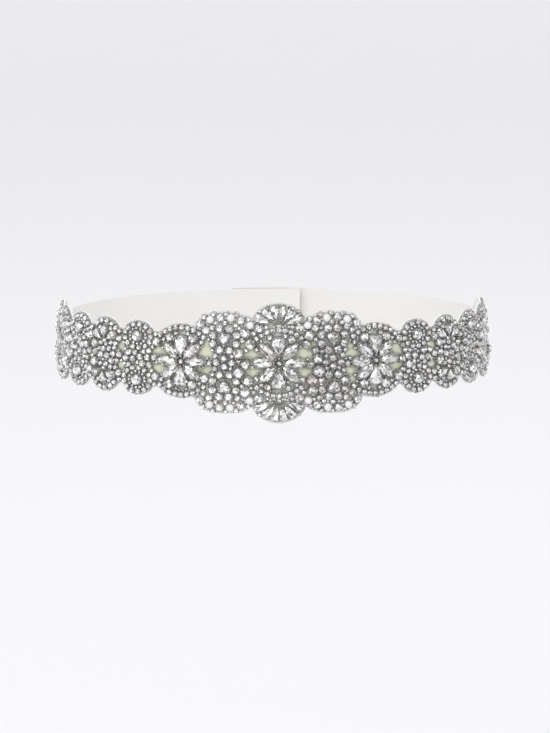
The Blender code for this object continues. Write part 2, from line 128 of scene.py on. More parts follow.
# Smaller bare spots between the centre flower and the pear columns: along, up, radius
BARE_SPOTS = (
    (-0.0064, 0.0106, 0.0013),
    (-0.0186, 0.0084, 0.0013),
    (-0.0192, -0.0096, 0.0010),
    (0.0176, 0.0094, 0.0013),
    (0.0066, -0.0108, 0.0010),
    (-0.0368, 0.0096, 0.0011),
    (0.0372, 0.0078, 0.0012),
    (0.0378, -0.0092, 0.0012),
)

# Painted reflections and shade: facets that face up at least this much, and the share of them that is
# painted dark; the lower a facet faces, the more of them are dark
DARK_FACETS = ((0.8, 0.16), (0.4, 0.36), (-1.0, 0.58))
MIDDLE_FACETS = 0.25
DARK_TONE, MIDDLE_TONE, LIGHT_TONE = (0.0, 0.28), (0.3, 0.6), (0.65, 1.0)

# Radii of the stones that fill the gaps, largest first, and the most of each
FILL_STONES = ((0.0025, 90), (0.0022, 130), (0.0018, 240), (0.0014, 400), (0.00115, 300))
SPARE_STONES = ((0.0010, 200),)
FILL_BEADS = ((0.0006, 500),)

# How much of a small stone is kept clear, the size below which it is a seed stone, and how
# far away its neighbours are looked for
SNUG, LARGEST_SEED, NEIGHBOURHOOD = 0.90, 0.0024, 0.012


def size_property(name, description, default):
    """A length that the panel shows."""
    return FloatProperty(name=name, description=description, default=default, unit="LENGTH")


def colour_property(name, description, default):
    """A colour that the panel shows."""
    return FloatVectorProperty(
        name=name, description=description, default=default, subtype="COLOR"
    )


class SashSizes(bpy.types.PropertyGroup):
    """The worn ring and the layers of cloth."""

    outer_width: size_property("Outer width", "Width over the stones", 0.230)
    outer_depth: size_property("Outer depth", "Depth over the stones", 0.180)
    stack: size_property("Stack", "Thickness of all the layers", 0.006)
    flare: FloatProperty(
        name="Flare",
        description="How far the band leans outwards going down",
        default=math.radians(3.0),
        subtype="ANGLE",
        unit="ROTATION",
    )
    ribbon_width: size_property("Ribbon width", "Width of the satin ribbon", 0.025)
    ribbon_wall: size_property("Ribbon wall", "Thickness of the ribbon", 0.0008)
    lap: size_property("Lap", "How far the ends overlap", 0.036)
    lap_out: size_property("Lap height", "How far the outer end stands out", 0.0040)
    hem: size_property("Hem", "Length folded under at each end", 0.007)
    backing_out: size_property("Backing height", "Where the backing lies", 0.0013)
    backing_wall: size_property("Backing wall", "Thickness of the backing", 0.0009)
    backing_end: size_property("Backing end", "Half the length of the backing", 0.1880)
    valley: size_property("Valley", "Half the height between two scallops", 0.014)
    margin: size_property("Margin", "Cloth left round the motifs", 0.0007)


class MotifSizes(bpy.types.PropertyGroup):
    """Where the motifs stand along the band, and how large they are."""

    flower_reach: size_property("Centre flower", "From its middle to a tip", 0.0144)
    side_flower_reach: size_property("Side flower", "From its middle to a tip", 0.0136)
    petal_start: size_property("Petal start", "From the middle to a petal", 0.0017)
    side_flower_along: size_property("Side flower place", "From the centre front", 0.0498)
    arc_radius: size_property("Arc radius", "Of the beads round the centre", 0.0170)
    side_arc_radius: size_property("Side arc radius", "Of the beads round a side flower", 0.0173)
    fan_up: size_property("Fan height", "Where the pears spread from", 0.0189)
    fan_reach: size_property("Fan reach", "From there to a pear's end", 0.0118)
    fan_spread: size_property("Fan spread", "How much longer its outer pears are", 0.0022)
    column_along: size_property("Pear column place", "From the centre front", 0.0275)
    column_up: size_property("Pear column height", "Of its rosettes", 0.0120)
    pearl_arc_radius: size_property("Pearl arc radius", "Of the outer arcs", 0.0233)
    rosette_first: size_property("First rosette", "From the centre front", 0.0745)
    rosette_pitch: size_property("Rosette pitch", "From one pair to the next", 0.0208)
    rosette_up: size_property("Rosette height", "Of a pair's middles", 0.0113)
    rosette_half_width: size_property("Rosette half width", "To the outside of its beads", 0.0092)
    rosette_half_height: size_property("Rosette half height", "To the outside of its beads", 0.0075)
    row_first: size_property("Row start", "Of the round stones between pairs", 0.0665)
    row_last: size_property("Row end", "Of the round stones between pairs", 0.1665)
    row_count: IntProperty(name="Row stones", description="Round stones in a row", default=24)
    end_along: size_property("End motif place", "From the centre front", 0.1785)
    bead: size_property("Bead", "Small round stone", 0.0034)
    seed_bead: size_property("Seed stone", "Smallest round stone", 0.0022)
    chaton: size_property("Chaton", "Claw-set round stone", 0.0042)
    broad_chaton: size_property("Broad chaton", "Round stone of the outer arcs", 0.0048)
    pearl: size_property("Pearl", "Round pearl", 0.0042)


class SashColours(bpy.types.PropertyGroup):
    """The colours of the cloth, the stones and the room."""

    satin: colour_property("Satin", "Ribbon", (0.87, 0.855, 0.825))
    net: colour_property("Net", "Bare backing", (0.85, 0.875, 0.66))
    # Glue and painted shade: the backing is painted greyer under the stones than at its rim
    net_glue_and_painted_shade: colour_property("Net shade", "Backing under stones", (0.86, 0.86, 0.82))
    net_rim: colour_property("Net rim", "Backing at its edge", (0.95, 0.95, 0.93))
    # Painted reflections: the bright and dark colours that the facets are painted
    gem_bright: colour_property("Stone light", "Bright facets", (0.91, 0.90, 0.885))
    gem_dark: colour_property("Stone dark", "Dark facets", (0.28, 0.275, 0.265))
    setting: colour_property("Settings", "Cups and claws", (0.66, 0.65, 0.635))
    # Painted shade: the cups are a darker copy of the settings' silver
    cup: colour_property("Cups", "Under the stones", (0.46, 0.455, 0.44))
    pearl: colour_property("Pearl", "Pearls", (0.86, 0.85, 0.83))
    thread: colour_property("Thread", "Sewing", (0.88, 0.87, 0.84))
    floor: colour_property("Floor", "Floor and backdrop", (0.85, 0.85, 0.855))


def sizes():
    return bpy.context.scene.sash_sizes


def motifs():
    return bpy.context.scene.sash_motifs


def colours():
    return bpy.context.scene.sash_colours


def waist_table():
    """Turns about the waist ellipse, and the length along it from the centre front to each."""
    size = sizes()
    half_width = size.outer_width / 2 - size.stack
    half_depth = size.outer_depth / 2 - size.stack
    turns = np.linspace(-1.5 * math.pi, 1.5 * math.pi, WAIST_STEPS + 1)
    steps = np.hypot(np.diff(half_width * np.sin(turns)), np.diff(half_depth * np.cos(turns)))
    lengths = np.concatenate(([0.0], np.cumsum(steps)))
    return half_width, half_depth, turns, lengths - lengths[len(lengths) // 2]


def once_round():
    """The length of the ribbon's inner face round the waist."""
    turns, lengths = waist_table()[2:]
    return float(np.interp(math.pi, turns, lengths) - np.interp(-math.pi, turns, lengths))


def wrap(points):
    """Places round the waist of flat points: along the ribbon, up its width, out from it."""
    half_width, half_depth, turns, lengths = waist_table()
    turn = np.interp(points[:, 0], lengths, turns)
    sine, cosine = np.sin(turn), np.cos(turn)
    outward = np.stack([half_depth * sine, -half_width * cosine], axis=1)
    outward /= np.linalg.norm(outward, axis=1, keepdims=True)
    reach = points[:, 2] - math.tan(sizes().flare) * points[:, 1]
    ring = np.stack([half_width * sine, -half_depth * cosine], axis=1)
    return np.column_stack([ring + outward * reach[:, None], points[:, 1]])


def smooth_step(low, high, value):
    share = np.clip((np.asarray(value, float) - low) / (high - low), 0.0, 1.0)
    return share * share * (3.0 - 2.0 * share)


def mesh_of(name, shape):
    """A new mesh made of a shape, which is freed."""
    made = bpy.data.meshes.new(name)
    shape.to_mesh(made)
    shape.free()
    return made


def add_object(name, data):
    """A new object in the scene."""
    made = bpy.data.objects.new(name, data)
    bpy.context.scene.collection.objects.link(made)
    return made


def finish_piece(name, shape, finishes, replaced=(), smooth=True):
    """Makes a flat shape a piece of the sash: wrapped, with its materials, riding on the body."""
    mesh = mesh_of(name, shape)
    places = np.empty(len(mesh.vertices) * 3, np.float32)
    mesh.vertices.foreach_get("co", places)
    wrapped = wrap(places.reshape(-1, 3).astype(float))
    mesh.vertices.foreach_set("co", wrapped.astype(np.float32).ravel())
    if smooth:
        mesh.shade_smooth()
        mesh.set_sharp_from_angle(angle=SHARP_ANGLE)
    for finish in finishes:
        mesh.materials.append(finish)
    mesh.update()
    piece = add_object(name, mesh)
    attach(piece, ROOT)
    if replaced:
        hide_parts(*replaced)
    return piece


# Materials


def made_once(kind, name):
    """Lets a function make the material or group of this name once, and give it after that."""

    def keep(make):
        @functools.wraps(make)
        def give():
            return getattr(bpy.data, kind).get(name) or make(name)

        return give

    return keep


def shader_group(name, inputs, outputs):
    """A new shader node group with the named inputs and outputs, and its two end nodes."""
    group = bpy.data.node_groups.new(name, "ShaderNodeTree")
    for label, kind, value in inputs:
        socket = group.interface.new_socket(label, in_out="INPUT", socket_type=kind)
        if value is not None:
            socket.default_value = value
    for label, kind in outputs:
        group.interface.new_socket(label, in_out="OUTPUT", socket_type=kind)
    return group, group.nodes.new("NodeGroupInput"), group.nodes.new("NodeGroupOutput")


def socket_name(key):
    """A socket's name from a keyword: base_color gives Base Color."""
    return key.replace("_", " ").title()


def put(tree, socket, value):
    """Sets an input, or links it where the value is a socket."""
    if isinstance(value, bpy.types.NodeSocket):
        tree.links.new(value, socket)
    elif socket.type == "RGBA":
        socket.default_value = (*value[:3], 1.0)
    else:
        socket.default_value = value


def feed(tree, made, **values):
    """Puts each value into the input of a node that it is named for."""
    for key, value in values.items():
        put(tree, made.inputs[socket_name(key)], value)


def node(tree, kind, **values):
    """A new node; each value is for the input that it is named for, or else for a property."""
    made = tree.nodes.new(kind)
    for key, value in values.items():
        if socket_name(key) in made.inputs:
            feed(tree, made, **{key: value})
        else:
            setattr(made, key, value)
    return made


def math_node(tree, operation, *operands):
    """The result of a Math node; each operand is a number or a socket."""
    made = node(tree, "ShaderNodeMath", operation=operation)
    for socket, operand in zip(made.inputs, operands):
        put(tree, socket, operand)
    return made.outputs[0]


def mix_colour(tree, share, first, second, blend="MIX"):
    """The result of a colour Mix node; its share and colours are values or sockets."""
    made = node(tree, "ShaderNodeMix", data_type="RGBA", blend_type=blend)
    for index, value in ((MIX_SHARE, share), (MIX_FIRST, first), (MIX_SECOND, second)):
        put(tree, made.inputs[index], value)
    return made.outputs[MIX_RESULT]


def multiply(tree, first, second):
    """Two colours multiplied."""
    return mix_colour(tree, 1.0, first, second, blend="MULTIPLY")


def ramp(tree, factor, stops):
    """A colour ramp through stops of (place, grey or colour)."""
    made = node(tree, "ShaderNodeValToRGB", fac=factor)
    points = made.color_ramp.elements
    while len(points) < len(stops):
        points.new(0.5)
    for point, (place, value) in zip(points, stops):
        point.position = place
        colour = (value,) * 3 if isinstance(value, (int, float)) else value
        point.color = (*colour[:3], 1.0)
    return made.outputs[0]


def noise(tree, place, scale, detail):
    """A noise from 0 to 1 at a place."""
    made = node(tree, "ShaderNodeTexNoise", vector=place, scale=scale, detail=detail)
    return made.outputs["Fac"]


def mapped(tree, place, **values):
    """A place that is moved or stretched."""
    return node(tree, "ShaderNodeMapping", vector=place, **values).outputs["Vector"]


def attribute(tree, name):
    """A value that the mesh carries for each face or vertex."""
    return node(tree, "ShaderNodeAttribute", attribute_name=name).outputs["Fac"]


def cloth_place(tree):
    """The place on a cloth before it is wrapped, in metres."""
    return node(tree, "ShaderNodeUVMap", uv_map="cloth").outputs["UV"]


def object_place(tree):
    """The place in the object's own coordinates."""
    return node(tree, "ShaderNodeTexCoord").outputs["Object"]


def new_material(name, **values):
    """A Principled material, its tree and its shader; the values are the shader's inputs."""
    made = bpy.data.materials.new(name)
    made.use_nodes = True
    shader = made.node_tree.nodes["Principled BSDF"]
    feed(made.node_tree, shader, **values)
    return made, made.node_tree, shader


def bump_into(tree, shader, height, strength, distance):
    """Raises a shader's surface by a height."""
    bump = node(tree, "ShaderNodeBump", strength=strength, distance=distance, height=height)
    feed(tree, shader, normal=bump.outputs["Normal"])


@made_once("node_groups", "uneven_tone")
def tone_group(name):
    """Uneven tone on any surface: a colour that wanders between a lighter and a darker one."""
    group, start, end = shader_group(
        name,
        [
            ("Vector", "NodeSocketVector", None),
            ("Colour", "NodeSocketColor", (0.8, 0.8, 0.8, 1.0)),
            ("Scale", "NodeSocketFloat", 200.0),
            ("Depth", "NodeSocketFloat", 0.15),
        ],
        [("Colour", "NodeSocketColor"), ("Mask", "NodeSocketFloat")],
    )
    mask = noise(group, start.outputs["Vector"], start.outputs["Scale"], detail=4.0)
    share = math_node(group, "MULTIPLY", mask, start.outputs["Depth"])
    tone = mix_colour(group, share, start.outputs["Colour"], (0.0, 0.0, 0.0))
    feed(group, end, colour=tone, mask=mask)
    return group


def uneven(tree, colour, scale, depth, place=None):
    """The colour and mask of an uneven tone, on Object coordinates unless a place is given."""
    made = node(tree, "ShaderNodeGroup", node_tree=tone_group())
    feed(tree, made, vector=place or object_place(tree), colour=colour, scale=scale, depth=depth)
    return made.outputs["Colour"], made.outputs["Mask"]


@made_once("node_groups", "crossed_threads")
def weave_group(name):
    """The height of crossing threads on a UV map in metres."""
    group, start, end = shader_group(
        name,
        [
            ("Vector", "NodeSocketVector", None),
            ("Warp", "NodeSocketFloat", 4000.0),
            ("Weft", "NodeSocketFloat", 4000.0),
        ],
        [("Height", "NodeSocketFloat")],
    )
    parts = node(group, "ShaderNodeSeparateXYZ", vector=start.outputs["Vector"])
    waves = []
    for axis, count in (("X", "Warp"), ("Y", "Weft")):
        run = math_node(group, "MULTIPLY", parts.outputs[axis], start.outputs[count])
        wave = math_node(group, "SINE", math_node(group, "MULTIPLY", run, math.pi))
        waves.append(math_node(group, "ABSOLUTE", wave))
    feed(group, end, height=math_node(group, "ADD", *waves))
    return group


def thread_height(tree, place, warp, weft):
    """The height of crossing threads, so many to the metre each way."""
    made = node(tree, "ShaderNodeGroup", node_tree=weave_group())
    feed(tree, made, vector=place, warp=warp, weft=weft)
    return made.outputs["Height"]


@made_once("materials", "woven_satin")
def satin_finish(name):
    """Off-white satin: fine warp threads, a soft sheen and faint streaks along the ribbon in its
    roughness and bump, also painted into its colour as a painted sheen.
    """
    made, tree, shader = new_material(
        name,
        roughness=0.34,
        metallic=0.28,
        sheen_weight=0.25,
        sheen_roughness=0.35,
        anisotropic=0.5,
    )
    place = cloth_place(tree)
    streak = noise(tree, mapped(tree, place, scale=(60.0, 2600.0, 1.0)), scale=1.0, detail=3.0)
    tone, _ = uneven(tree, colours().satin, 45.0, 0.05, place)
    # Painted sheen: the streaks lighten and darken the satin's colour
    painted_shading = ramp(tree, streak, [(0.30, 0.97), (0.70, 1.0)])
    gloss = ramp(tree, streak, [(0.3, 0.28), (0.7, 0.38)])
    feed(tree, shader, base_color=multiply(tree, tone, painted_shading), roughness=gloss)
    height = math_node(tree, "ADD", thread_height(tree, place, 2200.0, 5200.0), streak)
    bump_into(tree, shader, height, 0.16, 0.00006)
    return made


@made_once("materials", "felted_net")
def net_finish(name):
    """Felted net: yellow-green where it is bare, with painted shade beside the stones and between its
    threads, greyer under the stones for glue and painted shade, pale at the rim.
    """
    made, tree, shader = new_material(name, roughness=0.85, sheen_weight=0.2)
    colour = colours()
    place, bare, rim = cloth_place(tree), attribute(tree, "bare"), attribute(tree, "rim")
    # Painted shade: the bare net turns dark olive at the edges of its bare spots, next to the stones
    painted_shade_beside_stones = tuple(0.5 * part**2 for part in colour.net)
    shown = ramp(tree, bare, [(0.55, painted_shade_beside_stones), (0.95, colour.net)])
    # Glue and painted shade: greyer under the stones, pale at the rim
    under = mix_colour(tree, rim, colour.net_glue_and_painted_shade, colour.net_rim)
    base = mix_colour(tree, bare, under, shown)
    tone, _ = uneven(tree, base, 260.0, 0.10, place)
    height = thread_height(tree, place, 2300.0, 2300.0)
    # Painted shade: the net is darker in the low places between its threads
    painted_shading = ramp(tree, height, [(0.35, 0.84), (1.0, 1.0)])
    feed(tree, shader, base_color=multiply(tree, tone, painted_shading))
    bump_into(tree, shader, height, 0.55, 0.00018)
    return made


@made_once("materials", "cut_crystal")
def gem_finish(name):
    """Foiled cut glass with painted reflections: each facet is painted its own brightness, dark, grey
    or bright, standing in for the foil's reflections.
    """
    made, tree, shader = new_material(
        name, roughness=0.07, metallic=0.82, coat_weight=0.6, coat_roughness=0.03
    )
    colour = colours()
    # Painted reflections: the facet value picks each facet's painted brightness
    grey = tuple(0.80 * part for part in colour.gem_bright)
    dim = tuple(1.35 * part for part in colour.gem_dark)
    shades = [(0.0, colour.gem_dark), (0.30, dim), (0.58, grey), (0.85, colour.gem_bright)]
    light = ramp(tree, attribute(tree, "facet"), shades)
    cool, plain, rosy = (0.92, 0.95, 1.0), (1.0, 1.0, 1.0), (1.0, 0.88, 0.90)
    casts = [(0.0, cool), (0.16, plain), (0.93, plain), (1.0, rosy)]
    cast = ramp(tree, attribute(tree, "tint"), casts)
    _, film = uneven(tree, plain, 900.0, 0.2)
    rough = ramp(tree, film, [(0.3, 0.04), (0.75, 0.16)])
    feed(tree, shader, base_color=multiply(tree, light, cast), roughness=rough)
    return made


@made_once("materials", "silver_setting")
def setting_finish(name):
    """Silver-tone cups and claws, darker where the plating has dulled."""
    made, tree, shader = new_material(name, roughness=0.4, metallic=0.9)
    tone, mask = uneven(tree, colours().setting, 700.0, 0.45)
    rough = ramp(tree, mask, [(0.3, 0.32), (0.7, 0.52)])
    feed(tree, shader, base_color=tone, roughness=rough)
    bump_into(tree, shader, mask, 0.15, 0.0001)
    return made


@made_once("materials", "dulled_cup")
def cup_finish(name):
    """The cups under the stones: a darker copy of the silver, painted shade in the grooves round the
    stones, with the uneven tone of dulled plating.
    """
    made, tree, shader = new_material(name, roughness=0.6, metallic=0.5)
    tone, mask = uneven(tree, colours().cup, 900.0, 0.5)
    feed(tree, shader, base_color=tone)
    bump_into(tree, shader, mask, 0.2, 0.0001)
    return made


@made_once("materials", "pearl_lustre")
def pearl_finish(name):
    """White pearls with a soft coat, and painted shade at the rim: darker where they turn away from
    the eye.
    """
    made, tree, shader = new_material(
        name, roughness=0.24, coat_weight=0.7, coat_roughness=0.12, sheen_weight=0.1
    )
    # Painted shade: the pearl is painted darker towards its rim, where it faces away from the eye
    rim = node(tree, "ShaderNodeLayerWeight", blend=0.35).outputs["Facing"]
    tone, _ = uneven(tree, colours().pearl, 500.0, 0.12)
    painted_rim_shade = mix_colour(tree, rim, (1.0, 1.0, 1.0), (0.58, 0.56, 0.56))
    feed(tree, shader, base_color=multiply(tree, tone, painted_rim_shade))
    return made


@made_once("materials", "sewing_thread")
def thread_finish(name):
    """Twisted sewing thread, with painted shade in the grooves of its twist."""
    made, tree, shader = new_material(name, roughness=0.6, sheen_weight=0.3)
    wave = node(tree, "ShaderNodeTexWave", bands_direction="DIAGONAL")
    feed(tree, wave, vector=object_place(tree), scale=2600.0, distortion=1.5)
    twist = wave.outputs["Fac"]
    # Painted shade: darker in the grooves of the twist
    tone = ramp(tree, twist, [(0.2, 0.72), (0.8, 1.0)])
    feed(tree, shader, base_color=multiply(tree, colours().thread, tone))
    bump_into(tree, shader, twist, 0.4, 0.00005)
    return made


def stone_finishes():
    return [gem_finish(), setting_finish(), pearl_finish(), cup_finish()]


# Cut stones


def points_of(made):
    """The vertices in what a bmesh operator gives back."""
    return [item for item in made if isinstance(item, bmesh.types.BMVert)]


def outline_place(cut, angle):
    """A place on the outline of a cut, one long and one wide, at an angle about its middle."""
    sine = math.sin(angle)
    across = sine / 2
    if cut == "pear":
        across *= PEAR_SWELL * abs(math.cos(angle / 2)) ** PEAR_TAPER
    elif cut == "navette":
        across *= abs(sine) ** NAVETTE_POINT
    return math.cos(angle) / 2, across


def outline_ring(shape, cut, sides, share=1.0, height=0.0, half_step=False, filled=False):
    """A ring of points on a cut's outline, drawn in about its middle by share."""
    turn = Matrix.Rotation(math.pi / sides if half_step else 0.0, 4, "Z")
    made = bmesh.ops.create_circle(
        shape, cap_ends=filled, segments=sides, radius=1.0, matrix=turn
    )
    middle = PEAR_MIDDLE if cut == "pear" else 0.0
    for vert in made["verts"]:
        x, y = outline_place(cut, math.atan2(vert.co.y, vert.co.x))
        vert.co = (middle + (x - middle) * share, y * share, height)
    return made["verts"]


def rod(shape, sides, foot, tip, length, matrix):
    """A closed rod or cone, added to a shape."""
    made = bmesh.ops.create_cone(
        shape,
        cap_ends=True,
        segments=sides,
        radius1=foot,
        radius2=tip,
        depth=length,
        matrix=matrix,
    )
    return made["verts"]


def cut_gem(cut, sides):
    """A gem with a girdle, a crown of kite facets and a table cut into wedges."""
    shape = bmesh.new()
    for share, height, half_step in GEM_RINGS:
        outline_ring(shape, cut, sides, share, height, half_step)
    made = bmesh.ops.convex_hull(shape, input=shape.verts)
    bmesh.ops.delete(shape, geom=points_of(made["geom_interior"]), context="VERTS")
    flat = math.radians(0.5)
    bmesh.ops.dissolve_limit(shape, angle_limit=flat, verts=shape.verts, edges=shape.edges)
    table = max(shape.faces, key=lambda face: face.calc_center_median().z)
    bmesh.ops.poke(shape, faces=[table], offset=TABLE_DISH)
    for face in shape.faces:
        face.material_index = GEM
    return shape


def setting_cup(shape, cut, sides):
    """The metal cup that a gem sits in, added to a shape."""
    face = outline_ring(shape, cut, sides, filled=True)[0].link_faces[0]
    grown = bmesh.ops.extrude_face_region(shape, geom=[face], use_keep_orig=True)
    for vert in points_of(grown["geom"]):
        vert.co = (CUP_DRAWN_IN * vert.co.x, CUP_DRAWN_IN * vert.co.y, CUP_TOP)


def prongs(shape, cut):
    """The metal prongs that lean over a gem's girdle, added to a shape."""
    for degrees in PRONGS[cut]:
        x, y = outline_place(cut, math.radians(degrees))
        x *= ASPECT[cut]
        lean = (
            Matrix.Diagonal((1.0 / ASPECT[cut], 1.0, 1.0, 1.0))
            @ Matrix.Translation((PRONG_OUT * x, PRONG_OUT * y, PRONG_UP))
            @ Matrix.Rotation(math.atan2(y, x), 4, "Z")
            @ Matrix.Rotation(PRONG_LEAN, 4, "Y")
        )
        rod(shape, 5, PRONG_FOOT, PRONG_TIP, PRONG_LENGTH, lean)


def master(cut):
    """The mesh of one stone, a unit long, wide and high, made once and copied for each stone."""
    found = bpy.data.meshes.get("master_" + cut)
    if found:
        return found
    if cut in ("pearl", "bead"):
        shape = bmesh.new()
        around, up, finish = (14, 9, LUSTRE) if cut == "pearl" else (6, 4, METAL)
        bmesh.ops.create_uvsphere(shape, u_segments=around, v_segments=up, radius=0.5)
        bmesh.ops.translate(shape, verts=shape.verts, vec=(0.0, 0.0, 0.5))
        for face in shape.faces:
            face.material_index = finish
            face.smooth = True
    else:
        outline = "round" if cut == "seed" else cut
        shape = cut_gem(outline, SIDES[cut])
        gems = set(shape.faces)
        setting_cup(shape, outline, SIDES[cut])
        cups = set(shape.faces) - gems
        prongs(shape, cut)
        for face in shape.faces:
            if face not in gems:
                face.material_index = CUP if face in cups else METAL
    bmesh.ops.recalc_face_normals(shape, faces=shape.faces)
    return mesh_of("master_" + cut, shape)


def painted_facet_reflections(made, draw, dark):
    """Painted reflections for each face of a stone: painted brightness for light tables, and crowns
    of light and dark facets.
    """
    tones = []
    for polygon in made.polygons:
        dark_share = dark * next(share for up, share in DARK_FACETS if polygon.normal.z >= up)
        pick = draw.random()
        if pick < dark_share:
            tone = DARK_TONE
        elif pick < dark_share + MIDDLE_FACETS:
            tone = MIDDLE_TONE
        else:
            tone = LIGHT_TONE
        tones.append(draw.uniform(*tone))
    return tones


def is_outer(stone):
    """Whether a stone stands in a fan or in the outer arcs of a pear column, which get painted light.
    """
    fan_foot, column_side = 0.0155, 0.0460
    return abs(stone.up) > fan_foot and abs(stone.along) < column_side


def tilt_and_dark(stone):
    """How far a stone may tilt, in radians, and how large a share of painted dark facets it has for
    its kind; stones in the fans and outer arcs get fewer, as painted light.
    """
    large_round = 0.0045
    tilt, dark = (0.05, 0.92) if stone.cut in COVER_WIDTHS else (0.10, 1.0)
    if stone.cut == "round" and stone.length > large_round:
        dark = 0.75
    if is_outer(stone):
        dark *= 0.85 if stone.cut == "pear" else 0.6
    return tilt, dark


def set_piece(name, stones, replaced=()):
    """Makes one piece of a list of stones, each with its own tilt, cast and painted facet
    reflections.
    """
    draw = random.Random(f"{SEED} {name}")
    shape = bmesh.new()
    sunk = 0.00005
    level = sizes().backing_out + sizes().backing_wall - sunk
    tones, casts = [], []
    for stone in stones:
        made, first = master(stone.cut), len(shape.verts)
        shape.from_mesh(made)
        shape.verts.ensure_lookup_table()
        shape.faces.ensure_lookup_table()
        tilt, dark = tilt_and_dark(stone)
        if is_outer(stone):
            # Painted light: brighter cups, and pearly beads, in the fans and outer arcs
            for face in shape.faces[-len(made.polygons) :]:
                if face.material_index == CUP:
                    face.material_index = METAL
                elif stone.cut == "bead":
                    face.material_index = LUSTRE
        matrix = (
            Matrix.Translation((stone.along, stone.up, level))
            @ Matrix.Rotation(stone.turn, 4, "Z")
            @ Matrix.Rotation(draw.uniform(-tilt, tilt), 4, "X")
            @ Matrix.Rotation(draw.uniform(-tilt, tilt), 4, "Y")
            @ Matrix.Diagonal((stone.length, stone.width, stone.rise, 1.0))
        )
        bmesh.ops.transform(shape, matrix=matrix, verts=shape.verts[first:])
        tones += painted_facet_reflections(made, draw, dark)
        rosiest = 1.0 if stone.along > 0.0 and stone.cut in ("round", "pearl") else 0.96
        casts += [rosiest * draw.random()] * len(made.polygons)
    piece = finish_piece(name, shape, stone_finishes(), replaced, smooth=False)
    for label, values in (("facet", tones), ("tint", casts)):
        piece.data.attributes.new(label, "FLOAT", "FACE").data.foreach_set("value", values)
    return piece


# Where the stones stand


def round_one(along, up, turn, size, rise, cut="round"):
    """A stone, bead or pearl that is as wide as it is long."""
    return Stone(cut, along, up, turn, size, size, rise)


def ray(cut, along, up, turn, start, length, width, rise):
    """A long stone that points away from a middle and starts a little off it."""
    middle = start + length / 2
    place = (along + middle * math.cos(turn), up + middle * math.sin(turn))
    return Stone(cut, *place, turn, length, width, rise)


def ring_of(along, up, half_width, half_height, size, rise, cut="round", start=0.0):
    """Round stones side by side on an oval."""
    perimeter = math.pi * math.sqrt(2 * (half_width**2 + half_height**2))
    count = max(3, round(perimeter / size))
    size = perimeter / count
    made = []
    for index in range(count):
        angle = start + math.tau * index / count
        place = (along + half_width * math.cos(angle), up + half_height * math.sin(angle))
        made.append(round_one(*place, angle, size, rise, cut))
    return made


def flower_stones(along, reach, seed):
    """A round stone and eight petals about it: a pear above and below, and navettes between."""
    draw = random.Random(f"{SEED} flower {seed}")
    start = motifs().petal_start
    made = [round_one(along, 0.0, 0.4, size=0.0034, rise=0.0036)]
    for index in range(PETALS):
        turn = math.tau * index / PETALS + draw.uniform(-0.04, 0.04)
        upright = index % 4 == 2
        length = (reach - start) * draw.uniform(0.97, 1.03)
        cut, width, rise = ("pear", 0.0082, 0.0042) if upright else ("navette", 0.0066, 0.0039)
        made.append(ray(cut, along, 0.0, turn, start, length, width, rise))
    return made


def fan_stones(upward):
    """Pears spread like a fan above or below the centre flower."""
    motif = motifs()
    start, step, last = 0.0027, math.radians(27), (FAN_PEARS - 1) / 2
    made = [round_one(0.0, upward * (motif.fan_up + 0.0004), 0.2, size=0.0030, rise=0.0026)]
    for index in range(FAN_PEARS):
        turn = upward * (math.pi / 2 - (index - last) * step)
        length = motif.fan_reach - start + motif.fan_spread * ((index - last) / last) ** 2
        up = upward * motif.fan_up
        made.append(ray("pear", 0.0, up, turn, start, length, width=0.0052, rise=0.0036))
    return made


def arc_stones(along, radius, start, end, widths, upward, cuts=("round",)):
    """Stones side by side on an arc about the middle of the band, angles off the vertical."""
    made = []
    for index, width in enumerate(widths):
        angle = start + (end - start) * (index + 0.5) / len(widths)
        cut = cuts[index % len(cuts)]
        place = (along + radius * math.sin(angle), upward * radius * math.cos(angle))
        rise = width * (0.86 if cut == "pearl" else 0.68)
        made.append(round_one(*place, -angle, width, rise, cut))
    return made


def rosette_ring(along, up, half_width, half_height):
    """Beads just inside an oval."""
    bead, over = motifs().bead, 0.0003
    reach = (half_width - bead / 2 + over, half_height - bead / 2 + over)
    return ring_of(along, up, *reach, bead, rise=0.0022)


def clear_of(small, large):
    """The small round stones that the large ones leave room for."""
    covered = [circle for stone in large for circle in footprint(stone)]
    return [
        stone
        for stone in small
        if all(
            math.hypot(stone.along - x, stone.up - y) > radius + 0.25 * stone.length
            for x, y, radius in covered
        )
    ]


def round_rosette(along, up):
    """A round stone in two rings of beads."""
    motif = motifs()
    ring = rosette_ring(along, up, motif.rosette_half_width, motif.rosette_half_height)
    inner = ring_of(along, up, 0.0047, 0.0041, motif.seed_bead, rise=0.0017, cut="seed", start=0.3)
    return [round_one(along, up, 0.3, size=0.0066, rise=0.0038)] + ring + inner


def trefoil_rosette(along, up):
    """Three pears that spread away from the middle of the band, in a ring of beads."""
    motif = motifs()
    ring = rosette_ring(along, up, motif.rosette_half_width, motif.rosette_half_height)
    sign = math.copysign(1.0, up)
    low = up - sign * 0.0044
    made = [round_one(along, low + sign * 0.0004, 0.0, size=0.0026, rise=0.0024)]
    for lean in (-math.radians(58), 0.0, math.radians(58)):
        turn = sign * math.pi / 2 - lean
        length = 0.0080 if lean else 0.0070
        made.append(ray("pear", along, low, turn, 0.0012, length, width=0.0052, rise=0.0037))
    return made + clear_of(ring, made[1:])


def pear_rosette(along, up):
    """A broad pear in a ring of round stones."""
    sign = math.copysign(1.0, up)
    size = motifs().broad_chaton
    ring = ring_of(along, up, 0.0088 - size / 2, 0.0084 - size / 2, size, rise=0.0030, start=0.39)
    broad = Stone("pear", along, up, sign * math.pi / 2, 0.0080, 0.0072, 0.0044)
    return [broad] + ring


